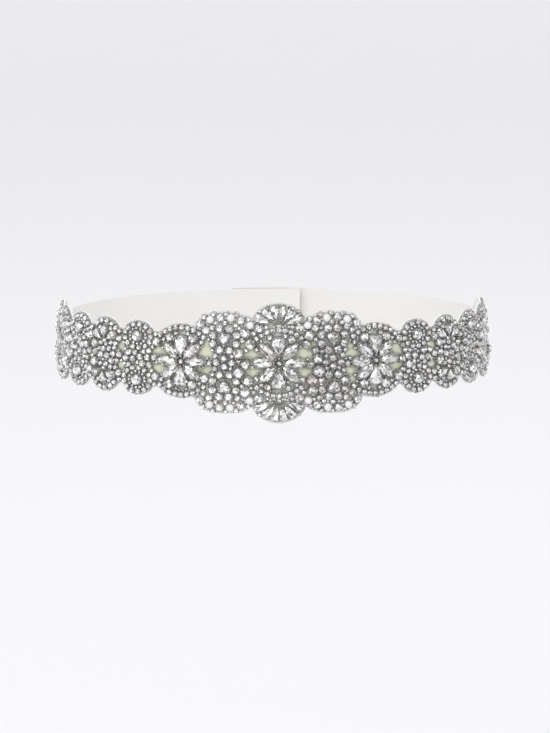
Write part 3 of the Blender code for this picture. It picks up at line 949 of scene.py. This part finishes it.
def end_stones(along):
    """A pear that points outwards, in a ring of beads, at an end of the band."""
    turn = 0.0 if along > 0 else math.pi
    broad = Stone("pear", along, 0.0, turn, 0.0086, 0.0062, 0.0038)
    ring = rosette_ring(along, 0.0, END_HALF_WIDTH, END_HALF_HEIGHT)
    inner = ring_of(along, 0.0, 0.0052, 0.0048, motifs().seed_bead, rise=0.0015, cut="seed")
    beside_pear = 0.0035
    return [broad] + ring + [stone for stone in inner if abs(stone.up) > beside_pear]


def cluster_stones(along):
    """Four round stones between the pear rosettes."""
    spots = ((-0.0040, 0.0), (0.0040, 0.0), (0.0, 0.0022), (0.0, -0.0022))
    return [round_one(along + x, y, 0.5, size=0.0043, rise=0.0031) for x, y in spots]


def row_stones(side):
    """A row of round stones between the pairs of rosettes, a little to and fro."""
    motif = motifs()
    made = []
    for index in range(motif.row_count):
        share = (index + 0.5) / motif.row_count
        along = side * (motif.row_first + (motif.row_last - motif.row_first) * share)
        up = 0.0009 * math.sin(math.tau * share * motif.row_count / 4)
        made.append(round_one(along, up, index * 0.7, motif.chaton, rise=0.0027))
    return made


def motif_table():
    """Every motif: the CAD node that it stands for, and its stones."""
    motif = motifs()
    table = {"centre_flower": flower_stones(0.0, motif.flower_reach, "centre")}
    small, sweep = [motif.bead] * ARC_BEADS, math.radians(47)
    mixed = [motif.broad_chaton if index % 2 else motif.pearl for index in range(PEARL_ARC_STONES)]
    for word, upward in (("upper", 1), ("lower", -1)):
        table[f"fan_{word}"] = fan_stones(upward)
        table[f"centre_arc_{word}"] = arc_stones(0.0, motif.arc_radius, -sweep, sweep, small, upward)
    for hand, side in (("left", -1), ("right", 1)):
        column, blossom = side * motif.column_along, side * motif.side_flower_along
        table[f"{hand}_flower"] = flower_stones(blossom, motif.side_flower_reach, hand)
        table[f"{hand}_round_cluster"] = cluster_stones(column)
        table[f"{hand}_centre_row"] = row_stones(side)
        table[f"{hand}_end_rosette"] = end_stones(side * motif.end_along)
        for word, upward in (("upper", 1), ("lower", -1)):
            table[f"{hand}_pear_rosette_{word}"] = pear_rosette(column, upward * motif.column_up)
            table[f"{hand}_flower_arc_{word}"] = arc_stones(
                blossom, motif.side_arc_radius, -sweep, sweep, small, upward
            )
            table[f"{hand}_pearl_arc_{word}"] = arc_stones(
                column,
                motif.pearl_arc_radius,
                side * math.radians(-40.5),
                side * math.radians(38.5),
                mixed,
                upward,
                cuts=("pearl", "round"),
            )
            for index in range(ROSETTE_PAIRS):
                along = side * (motif.rosette_first + index * motif.rosette_pitch)
                make = trefoil_rosette if index % 2 else round_rosette
                table[f"{hand}_rosette_{index + 1}_{word}"] = make(along, upward * motif.rosette_up)
    return table


def footprint(stone):
    """Circles (along, up, radius) that cover a stone's outline on the band."""
    if stone.cut not in COVER_WIDTHS:
        return [(stone.along, stone.up, stone.length / 2)]
    axis = Vector((math.cos(stone.turn), math.sin(stone.turn)))
    return [
        (
            stone.along + axis.x * stone.length * share,
            stone.up + axis.y * stone.length * share,
            stone.width / 2 * width,
        )
        for share, width in zip(COVER_PLACES, COVER_WIDTHS[stone.cut])
    ]


def backing_edge(along):
    """Half the height of the scalloped backing at a place along it, from the motifs it carries."""
    motif, size = motifs(), sizes()
    reach = np.abs(np.asarray(along, float))
    last_valley, half_bead, fan_side, column_side, squared = 0.0100, 0.0015, 0.0020, 0.0172, 3.3
    high = np.where(reach < motif.end_along - last_valley, size.valley, 0.0)
    arc, side_arc = motif.arc_radius + half_bead, motif.side_arc_radius + half_bead
    column_top = motif.pearl_arc_radius + motif.broad_chaton / 2
    ovals = [
        Oval(0.0, 0.0, arc, arc),
        Oval(0.0, motif.fan_up, motif.fan_reach + fan_side, motif.fan_reach),
        Oval(motif.column_along, 0.0, column_side, column_top, squared),
        Oval(motif.side_flower_along, 0.0, side_arc, side_arc),
        Oval(motif.end_along, 0.0, END_HALF_WIDTH, END_HALF_HEIGHT),
    ]
    for index in range(ROSETTE_PAIRS):
        place = motif.rosette_first + index * motif.rosette_pitch
        half_width, half_height = motif.rosette_half_width, motif.rosette_half_height
        ovals.append(Oval(place, motif.rosette_up, half_width, half_height))
    for oval in ovals:
        share = np.abs(reach - oval.along) / (oval.half_width + size.margin)
        share = np.clip(share, 0.0, 1.0)
        bulge = (1.0 - share**oval.power) ** (1.0 / oval.power)
        top = oval.up + (oval.half_height + size.margin) * bulge
        high = np.where(share < 1.0, np.maximum(high, top), high)
    return high


def bare_spots():
    """Wedges beside the flowers, and gaps between rosettes, where the backing shows."""
    motif = motifs()
    draw = random.Random(f"{SEED} bare")
    made = []
    for middle, reach in (
        (0.0, motif.flower_reach),
        (-motif.side_flower_along, motif.side_flower_reach),
        (motif.side_flower_along, motif.side_flower_reach),
    ):
        for across, up in itertools.product((-1, 1), (-1, 1)):
            wedge_size = draw.uniform(0.80, 1.20)
            for along, high, radius in WEDGE:
                place = middle + across * (reach + along + draw.uniform(-0.0006, 0.0006))
                spot = radius * wedge_size * draw.uniform(0.85, 1.15)
                made.append((place, up * high * draw.uniform(0.85, 1.15), spot))
    for pair, across, up in itertools.product((0.5, 1.5), (-1, 1), (-0.0050, 0.0050)):
        place = across * (motif.rosette_first + pair * motif.rosette_pitch)
        made.append((place, up, draw.uniform(0.0014, 0.0021)))
    return made + list(BARE_SPOTS)


def edge_room(along, up):
    """How far flat places lie inside the outline of the backing."""
    end = sizes().backing_end
    places = np.linspace(0.0, end, 1500)
    edge = backing_edge(places)
    beside, overhang = 0.0006, 0.0002
    halves = [np.interp(np.abs(along + step), places, edge) for step in (-beside, 0.0, beside)]
    return np.minimum(np.min(halves, axis=0) - np.abs(up), end - np.abs(along)) + overhang


def fill_gaps(taken, table, step=0.00045):
    """Puts circles as tightly as they fit between those taken; table gives (radius, most)."""
    end, top = sizes().backing_end, 0.031
    columns, rows = np.arange(-end, end, step), np.arange(-top, top, step)
    along, up = (axis.ravel() for axis in np.meshgrid(columns, rows, indexing="ij"))
    room = edge_room(along, up)
    inside = room > table[-1][0]
    along, up, room = along[inside], up[inside], room[inside]

    def fill(x, y, radius):
        near = slice(*np.searchsorted(along, (x - NEIGHBOURHOOD, x + NEIGHBOURHOOD)))
        apart = np.hypot(along[near] - x, up[near] - y) - radius
        room[near] = np.minimum(room[near], apart)

    for circle in taken:
        fill(*circle)
    made = []
    for radius, most in table:
        for _ in range(most):
            fits = np.flatnonzero(room >= radius)
            if not len(fits):
                break
            pick = fits[np.argmin(room[fits])]
            made.append((float(along[pick]), float(up[pick]), radius))
            fill(*made[-1])
    return made


def settle(taken, loose, rounds=10, step=0.00018, growth=1.22):
    """Lets loose circles shift to where they have most room, and grow into it."""
    placed = np.array(taken + loose)
    first = len(taken)
    across, upward = (axis.ravel() * step for axis in np.meshgrid((-1, 0, 1), (-1, 0, 1)))
    for _ in range(rounds):
        for index in range(first, len(placed)):
            x, y = placed[index, 0] + across, placed[index, 1] + upward
            near = np.hypot(*(placed[:, :2] - placed[index, :2]).T) < NEIGHBOURHOOD
            near[index] = False
            others = placed[near]
            apart = np.hypot(x[:, None] - others[:, 0], y[:, None] - others[:, 1]) - others[:, 2]
            room = np.minimum(apart.min(axis=1), edge_room(x, y))
            best = int(np.argmax(room))
            most = loose[index - first][2] * growth
            placed[index] = (x[best], y[best], min(float(room[best]), most))
    return [tuple(map(float, one)) for one in placed[first:]]


def plain_discs():
    """Discs within the flowers and fans that are kept free of the smallest stones and beads."""
    motif = motifs()
    made = [(0.0, 0.0, 0.75 * motif.flower_reach)]
    for side in (-1, 1):
        made.append((side * motif.side_flower_along, 0.0, 0.75 * motif.side_flower_reach))
        made.append((0.0, side * (motif.fan_up + 0.52 * motif.fan_reach), 0.48 * motif.fan_reach))
    return made


def small_stones():
    """Small stones and beads that fill the cloth between the motifs, as a beader sets them."""
    taken = [
        (x, y, radius * SNUG)
        for stones in motif_table().values()
        for stone in stones
        for x, y, radius in footprint(stone)
    ]
    taken += bare_spots()
    loose = settle(taken, fill_gaps(taken, FILL_STONES))
    taken += plain_discs()
    loose += fill_gaps(taken + loose, SPARE_STONES)
    beads = fill_gaps(taken + loose, FILL_BEADS, step=0.0003)
    draw = random.Random(f"{SEED} fill")
    made = []
    for x, y, radius in loose:
        size = 2 * radius / SNUG
        cut = "seed" if size < LARGEST_SEED else "round"
        rise = size * draw.uniform(0.62, 0.80)
        made.append(round_one(x, y, draw.uniform(0.0, 6.0), size, rise, cut))
    for x, y, radius in beads:
        size = 2 * radius / SNUG * draw.uniform(1.0, 1.25)
        made.append(round_one(x, y, draw.uniform(0.0, 6.0), size, size, "bead"))
    return made


# Cloth


def grid_order(vert):
    """Sorts the vertices of a grid row by row, whatever their rounding."""
    return round(vert.co.y, 5), round(vert.co.x, 5)


def cloth_strip(columns, rows, low, high, **marks):
    """A strip of cloth with a wall: low and high place its two faces, from shares along and up.

    Each mark is a function of those shares for the upper face, and a value for the lower one.
    """
    shape = bmesh.new()
    uv = shape.loops.layers.uv.new("cloth")
    layers = [shape.verts.layers.float.new(name) for name in marks]
    bmesh.ops.create_grid(shape, x_segments=columns, y_segments=rows, size=0.5)
    under = sorted(shape.verts, key=grid_order)
    grown = bmesh.ops.extrude_face_region(shape, geom=list(shape.faces), use_keep_orig=True)
    over = sorted(points_of(grown["geom"]), key=grid_order)
    share, side = (np.array([vert.co[axis] + 0.5 for vert in under]) for axis in (0, 1))
    for layer, (mark, lower) in zip(layers, marks.values()):
        for below, above, value in zip(under, over, mark(share, side)):
            below[layer], above[layer] = lower, value
    for verts, places in ((under, low(share, side)), (over, high(share, side))):
        for vert, place in zip(verts, places):
            vert.co = place
    for face in shape.faces:
        for loop in face.loops:
            loop[uv].uv = loop.vert.co.xy
    bmesh.ops.recalc_face_normals(shape, faces=shape.faces)
    if shape.calc_volume(signed=True) < 0.0:
        bmesh.ops.reverse_faces(shape, faces=shape.faces)
    return shape


def ribbon_lift(along):
    """How far the ribbon stands out: its right-hand end passes over the left-hand one."""
    size = sizes()
    spare, ramp_length = 0.002, 0.022
    last = once_round() / 2 - size.lap / 2 - spare
    return size.lap_out * smooth_step(last - ramp_length, last, along)


def crease_height(along, up):
    """The soft creases of the ribbon away from the band."""
    total = np.zeros_like(along)
    for crease in CREASES:
        middle = crease.along + crease.lean * up
        across = np.exp(-(((along - middle) / crease.breadth) ** 2))
        total = total + crease.height * across * np.exp(-((up / crease.reach) ** 2))
    return total


class SASH_OT_ribbon(bpy.types.Operator):
    """Makes the satin ribbon, lapped at the centre back"""

    bl_idname = "bridal_sash.ribbon"
    bl_label = "Satin ribbon"

    def execute(self, context):
        size = sizes()
        length = once_round() + size.lap
        columns, rows, off_waist, hem_edge = 520, 14, 0.0001, 0.0006
        selvedge_high, hem_high, ripple_high = 0.00012, 0.00035, 0.00008

        def at(share, side, wall, swelling):
            along = length * (share - 0.5)
            up = size.ribbon_width * (side - 0.5)
            selvedge = selvedge_high * smooth_step(0.42, 0.47, np.abs(side - 0.5))
            ends = length / 2 - np.abs(along)
            hem = hem_high * (1.0 - smooth_step(size.hem - hem_edge, size.hem, ends))
            ripple = ripple_high * np.sin(along * 190.0) * np.sin(up * 210.0 + along * 35.0)
            out = ribbon_lift(along) + crease_height(along, up) + ripple + off_waist
            return np.stack([along, up, out + wall + swelling * (selvedge + hem)], axis=1)

        low = functools.partial(at, wall=0.0, swelling=-0.4)
        high = functools.partial(at, wall=size.ribbon_wall, swelling=1.0)
        shape = cloth_strip(columns, rows, low, high)
        piece = finish_piece("satin_ribbon", shape, [satin_finish()], ["sash_ribbon"])
        return {"FINISHED"}


class SASH_OT_backing(bpy.types.Operator):
    """Makes the scalloped cloth that carries the stones"""

    bl_idname = "bridal_sash.backing"
    bl_label = "Scalloped backing"

    def execute(self, context):
        size = sizes()
        end = size.backing_end
        columns, rows = 440, 40

        def flat(share, side):
            """A place along the cloth, its height from -1 to 1, and half the cloth's height there."""
            along = end * (2.0 * share - 1.0)
            return along, 2.0 * side - 1.0, backing_edge(along)

        def at(share, side, out):
            along, high, half = flat(share, side)
            fray = 0.00011 * np.sin(along * 1290.0) + 0.00009 * np.sin(along * 731.0 + 1.3)
            up = high * (half + fray)
            pucker = 0.00010 * np.sin(along * 610.0 + up * 300.0) * np.sin(up * 520.0)
            return np.stack([along, up, out + pucker], axis=1)

        def bare(share, side):
            along, high, half = flat(share, side)
            near = [np.hypot(along - x, high * half - y) - spot for x, y, spot in bare_spots()]
            # 1 on the bare spots, falling off towards the stones; the fall-off carries the painted
            # shade beside them
            return 1.0 - smooth_step(-0.0014, 0.0030, np.min(near, axis=0))

        def rim(share, side):
            _, high, half = flat(share, side)
            return 1.0 - smooth_step(0.0010, 0.0026, half * (1.0 - np.abs(high)))

        low = functools.partial(at, out=size.backing_out)
        high = functools.partial(at, out=size.backing_out + size.backing_wall)
        shape = cloth_strip(columns, rows, low, high, bare=(bare, 0.0), rim=(rim, 1.0))
        piece = finish_piece(
            "scalloped_backing", shape, [net_finish()], ["applique_backing"]
        )
        places = np.linspace(-end, end, 2000)
        area = float(np.mean(2.0 * backing_edge(places)) * 2.0 * end)
        return {"FINISHED"}


def stitch(shape, middle, reach, radius):
    """A short thread, added to a shape: its flat middle, and how far it runs to each side."""
    sides, reach = 6, Vector(reach)
    turn = Vector((0.0, 0.0, 1.0)).rotation_difference(reach.normalized()).to_matrix().to_4x4()
    place = Matrix.Translation(middle) @ turn
    verts = rod(shape, sides, radius, radius, 2.0 * reach.length, place)
    faces = {face for vert in verts for face in vert.link_faces}
    caps = [face for face in faces if len(face.verts) == sides]
    bmesh.ops.inset_region(shape, faces=caps, thickness=radius * 0.5, depth=radius * 0.5)


def seam_threads():
    """Two rows of stitches that hold the band to the ribbon, on the ribbon's inner face."""
    first, pitch, half, inside = -0.180, 0.0052, 0.0014, -0.00005
    for up in (-0.0108, 0.0108):
        for index in range(int(-2 * first / pitch)):
            yield (first + index * pitch, up, inside), (half, 0.0, 0.0), 0.00011


def bead_threads():
    """A thread behind the band for each stone that stands clear of the ribbon."""
    size = sizes()
    below, clear = size.backing_out - 0.00006, size.ribbon_width / 2 + 0.0010
    draw = random.Random(f"{SEED} sewing")
    for stone in itertools.chain(*motif_table().values(), small_stones()):
        if stone.cut == "bead" or abs(stone.up) < clear:
            continue
        lean = draw.uniform(0.0, math.pi)
        reach = min(stone.length, 0.0030) * 0.36
        run = (reach * math.cos(lean), reach * math.sin(lean), 0.0)
        yield (stone.along, stone.up, below), run, 0.00009


def hem_threads():
    """A row of stitches across the ribbon over each of its hems."""
    size = sizes()
    length = once_round() + size.lap
    count, pitch, half = 9, 0.0026, 0.0009
    for end, lift in ((-1, 0.0), (1, size.lap_out)):
        along = end * (length / 2 - size.hem + 0.0009)
        out = lift + size.ribbon_wall + 0.00049
        for index in range(count):
            yield (along, (index - count // 2) * pitch, out), (0.0, half, 0.0), 0.00011


class SASH_OT_stitches(bpy.types.Operator):
    """Sews the band to the ribbon, the stones to the band and the hems of the ribbon"""

    bl_idname = "bridal_sash.stitches"
    bl_label = "Sewing"

    def execute(self, context):
        for name, threads in (
            ("band_seam_stitches", seam_threads()),
            ("bead_stitches", bead_threads()),
            ("hem_stitches", hem_threads()),
        ):
            shape = bmesh.new()
            for middle, reach, radius in threads:
                stitch(shape, middle, reach, radius)
            finish_piece(name, shape, [thread_finish()])
        return {"FINISHED"}


class SASH_OT_closure(bpy.types.Operator):
    """Gives the hook and bar between the ribbon's ends their metal finish"""

    bl_idname = "bridal_sash.closure"
    bl_label = "Hook and bar"

    def execute(self, context):
        for name in ("closure_hook", "closure_bar"):
            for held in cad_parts[name].material_slots:
                held.material = setting_finish()
        return {"FINISHED"}


def set_motifs(chosen):
    """Makes the pieces of the motifs whose node names hold one of the chosen words."""
    for name, stones in motif_table().items():
        if any(word in name for word in chosen):
            set_piece("set_" + name, stones, [name])


class SASH_OT_flowers(bpy.types.Operator):
    """Sets the three flowers and the arcs of beads round them"""

    bl_idname = "bridal_sash.flowers"
    bl_label = "Flowers"

    def execute(self, context):
        set_motifs(["_flower", "centre_arc"])
        return {"FINISHED"}


class SASH_OT_fans(bpy.types.Operator):
    """Sets the fans above and below the centre flower"""

    bl_idname = "bridal_sash.fans"
    bl_label = "Fans"

    def execute(self, context):
        set_motifs(["fan_"])
        return {"FINISHED"}


class SASH_OT_columns(bpy.types.Operator):
    """Sets the pear rosettes and round stones beside the centre flower"""

    bl_idname = "bridal_sash.columns"
    bl_label = "Pear columns"

    def execute(self, context):
        set_motifs(["pear_rosette", "round_cluster"])
        set_motifs(["pearl_arc"])
        return {"FINISHED"}


class SASH_OT_rosettes(bpy.types.Operator):
    """Sets the pairs of rosettes, the rows between them and the end motifs"""

    bl_idname = "bridal_sash.rosettes"
    bl_label = "Rosettes"

    def execute(self, context):
        set_motifs([f"_rosette_{index + 1}" for index in range(ROSETTE_PAIRS)])
        set_motifs(["centre_row", "end_rosette"])
        return {"FINISHED"}


class SASH_OT_small_stones(bpy.types.Operator):
    """Fills the cloth between the motifs with small stones"""

    bl_idname = "bridal_sash.small_stones"
    bl_label = "Small stones"

    def execute(self, context):
        stones = small_stones()
        third = sizes().backing_end / 3
        bounds = (-1.0, -third, third, 1.0)
        for word, low, high in zip(("left", "middle", "right"), bounds, bounds[1:]):
            set_piece(f"small_stones_{word}", [one for one in stones if low <= one.along < high])
        return {"FINISHED"}


# Room


def area_light(name, place, size, power, target=(0.0, -0.08, 0.0)):
    """A soft rectangular lamp that faces the front of the sash."""
    data = bpy.data.lights.new(name, "AREA")
    data.shape = "RECTANGLE"
    data.size, data.size_y = size
    data.energy = power
    lamp = add_object(name, data)
    lamp.location = place
    lamp.rotation_euler = (Vector(target) - Vector(place)).to_track_quat("-Z", "Y").to_euler()


class SASH_OT_stage(bpy.types.Operator):
    """Makes the pale floor, the soft light and the camera"""

    bl_idname = "bridal_sash.stage"
    bl_label = "Room"

    def execute(self, context):
        scene = context.scene
        scene.view_settings.view_transform = "Standard"
        scene.world = self.world()
        self.floor()
        area_light("key", place=(-1.1, -1.6, 1.5), size=(0.9, 0.9), power=7.2)
        area_light("front", place=(-0.2, -2.4, 1.0), size=(1.0, 0.8), power=4.0)
        area_light("fill", place=(1.5, -1.4, 0.6), size=(0.6, 1.2), power=1.0)
        area_light("rim", place=(0.3, 1.4, 1.6), size=(1.4, 0.5), power=4.0)
        self.camera(scene)
        return {"FINISHED"}

    def floor(self):
        """A pale floor that curves up into a backdrop, well below the worn sash."""
        reach, bend, below = 6.0, 2.5, 0.30
        shape = bmesh.new()
        bmesh.ops.create_grid(shape, x_segments=1, y_segments=1, size=reach)
        back = [edge for edge in shape.edges if all(vert.co.y > 0.0 for vert in edge.verts)]
        grown = bmesh.ops.extrude_edge_only(shape, edges=back)
        bmesh.ops.translate(shape, verts=points_of(grown["geom"]), vec=(0.0, 0.0, reach))
        bmesh.ops.bevel(
            shape,
            geom=back,
            offset=bend,
            offset_type="OFFSET",
            affect="EDGES",
            segments=20,
            profile=0.5,
            material=-1,
        )
        bmesh.ops.translate(shape, verts=shape.verts, vec=(0.0, 0.0, -below))
        mesh = mesh_of("floor", shape)
        mesh.shade_smooth()
        made, _, _ = new_material("pale_floor", roughness=0.95, base_color=colours().floor)
        mesh.materials.append(made)
        floor = add_object("floor", mesh)

    def world(self):
        """A plain room to the eye, and patches of light and dark for the facets to mirror.

        The patches fade towards the right, where the band is darker.
        """
        made = bpy.data.worlds.new("room")
        made.use_nodes = True
        tree = made.node_tree
        place = node(tree, "ShaderNodeTexCoord").outputs["Generated"]
        patches = noise(tree, mapped(tree, place, scale=(-1.0, 1.0, 1.0)), scale=2.6, detail=2.0)
        light = ramp(tree, patches, [(0.38, 0.06), (0.48, 0.34), (0.58, 1.0)])
        across = mapped(tree, place, location=(0.5, 0.0, 0.0), scale=(0.5, 1.0, 1.0))
        slope = node(tree, "ShaderNodeTexGradient", vector=across)
        dimmer = ramp(tree, slope.outputs["Fac"], [(0.25, 1.0), (0.85, 0.55)])
        mirrored, lit, seen = multiply(tree, light, dimmer), (0.455, 0.455, 0.465), (0.427,) * 3
        rays = node(tree, "ShaderNodeLightPath").outputs
        unseen = mix_colour(tree, rays["Is Glossy Ray"], lit, mirrored)
        shown = mix_colour(tree, rays["Is Camera Ray"], unseen, seen)
        feed(tree, tree.nodes["Background"], color=shown, strength=2.2)
        return made

    def camera(self, scene):
        """The photograph's view: a little from the left and above, through a long lens."""
        distance, rise, turn = 3.0, math.radians(9.5), math.radians(-2.2)
        # The length of a pixel at the waist, and places in the frame of 550 x 733 pixels
        pixel, frame_height = 0.000529, 733
        ring_at, frame_middle = Vector((272.5, 336.0)), Vector((275.0, 366.5))
        data = bpy.data.cameras.new("camera")
        data.sensor_width = 36.0
        data.lens = data.sensor_width * distance / (pixel * frame_height)
        data.clip_start, data.clip_end = 0.05, 30.0
        camera = add_object("camera", data)
        back = Vector((math.sin(turn), -math.cos(turn), 0.0)) * math.cos(rise)
        back.z = math.sin(rise)
        facing = (-back).to_track_quat("-Z", "Y")
        shift = (frame_middle - ring_at) * pixel
        aim = facing @ Vector((shift.x, -shift.y, 0.0))
        camera.location = aim + back * distance
        camera.rotation_euler = facing.to_euler()
        scene.camera = camera


class SASH_PT_panel(bpy.types.Panel):
    """Lists the pieces of the sash"""

    bl_label = "Bridal sash"
    bl_idname = "SASH_PT_panel"
    bl_space_type = "VIEW_3D"
    bl_region_type = "UI"
    bl_category = "Sash"

    def draw(self, context):
        for operator in OPERATORS:
            self.layout.operator(operator.bl_idname)
        for group in ("sash_sizes", "sash_motifs", "sash_colours"):
            held = getattr(context.scene, group)
            for key in held.bl_rna.properties.keys():
                if key not in ("rna_type", "name"):
                    self.layout.prop(held, key)


OPERATORS = (
    SASH_OT_ribbon,
    SASH_OT_backing,
    SASH_OT_closure,
    SASH_OT_flowers,
    SASH_OT_fans,
    SASH_OT_columns,
    SASH_OT_rosettes,
    SASH_OT_small_stones,
    SASH_OT_stitches,
    SASH_OT_stage,
)
CLASSES = (SashSizes, MotifSizes, SashColours, *OPERATORS, SASH_PT_panel)


def register():
    for one in CLASSES:
        bpy.utils.register_class(one)
    bpy.types.Scene.sash_sizes = PointerProperty(type=SashSizes)
    bpy.types.Scene.sash_motifs = PointerProperty(type=MotifSizes)
    bpy.types.Scene.sash_colours = PointerProperty(type=SashColours)


def unregister():
    for name in ("sash_colours", "sash_motifs", "sash_sizes"):
        delattr(bpy.types.Scene, name)
    for one in reversed(CLASSES):
        bpy.utils.unregister_class(one)


def main():
    register()
    for operator in OPERATORS:
        group, name = operator.bl_idname.split(".")
        getattr(getattr(bpy.ops, group), name)()


if __name__ == "__main__":
    main()
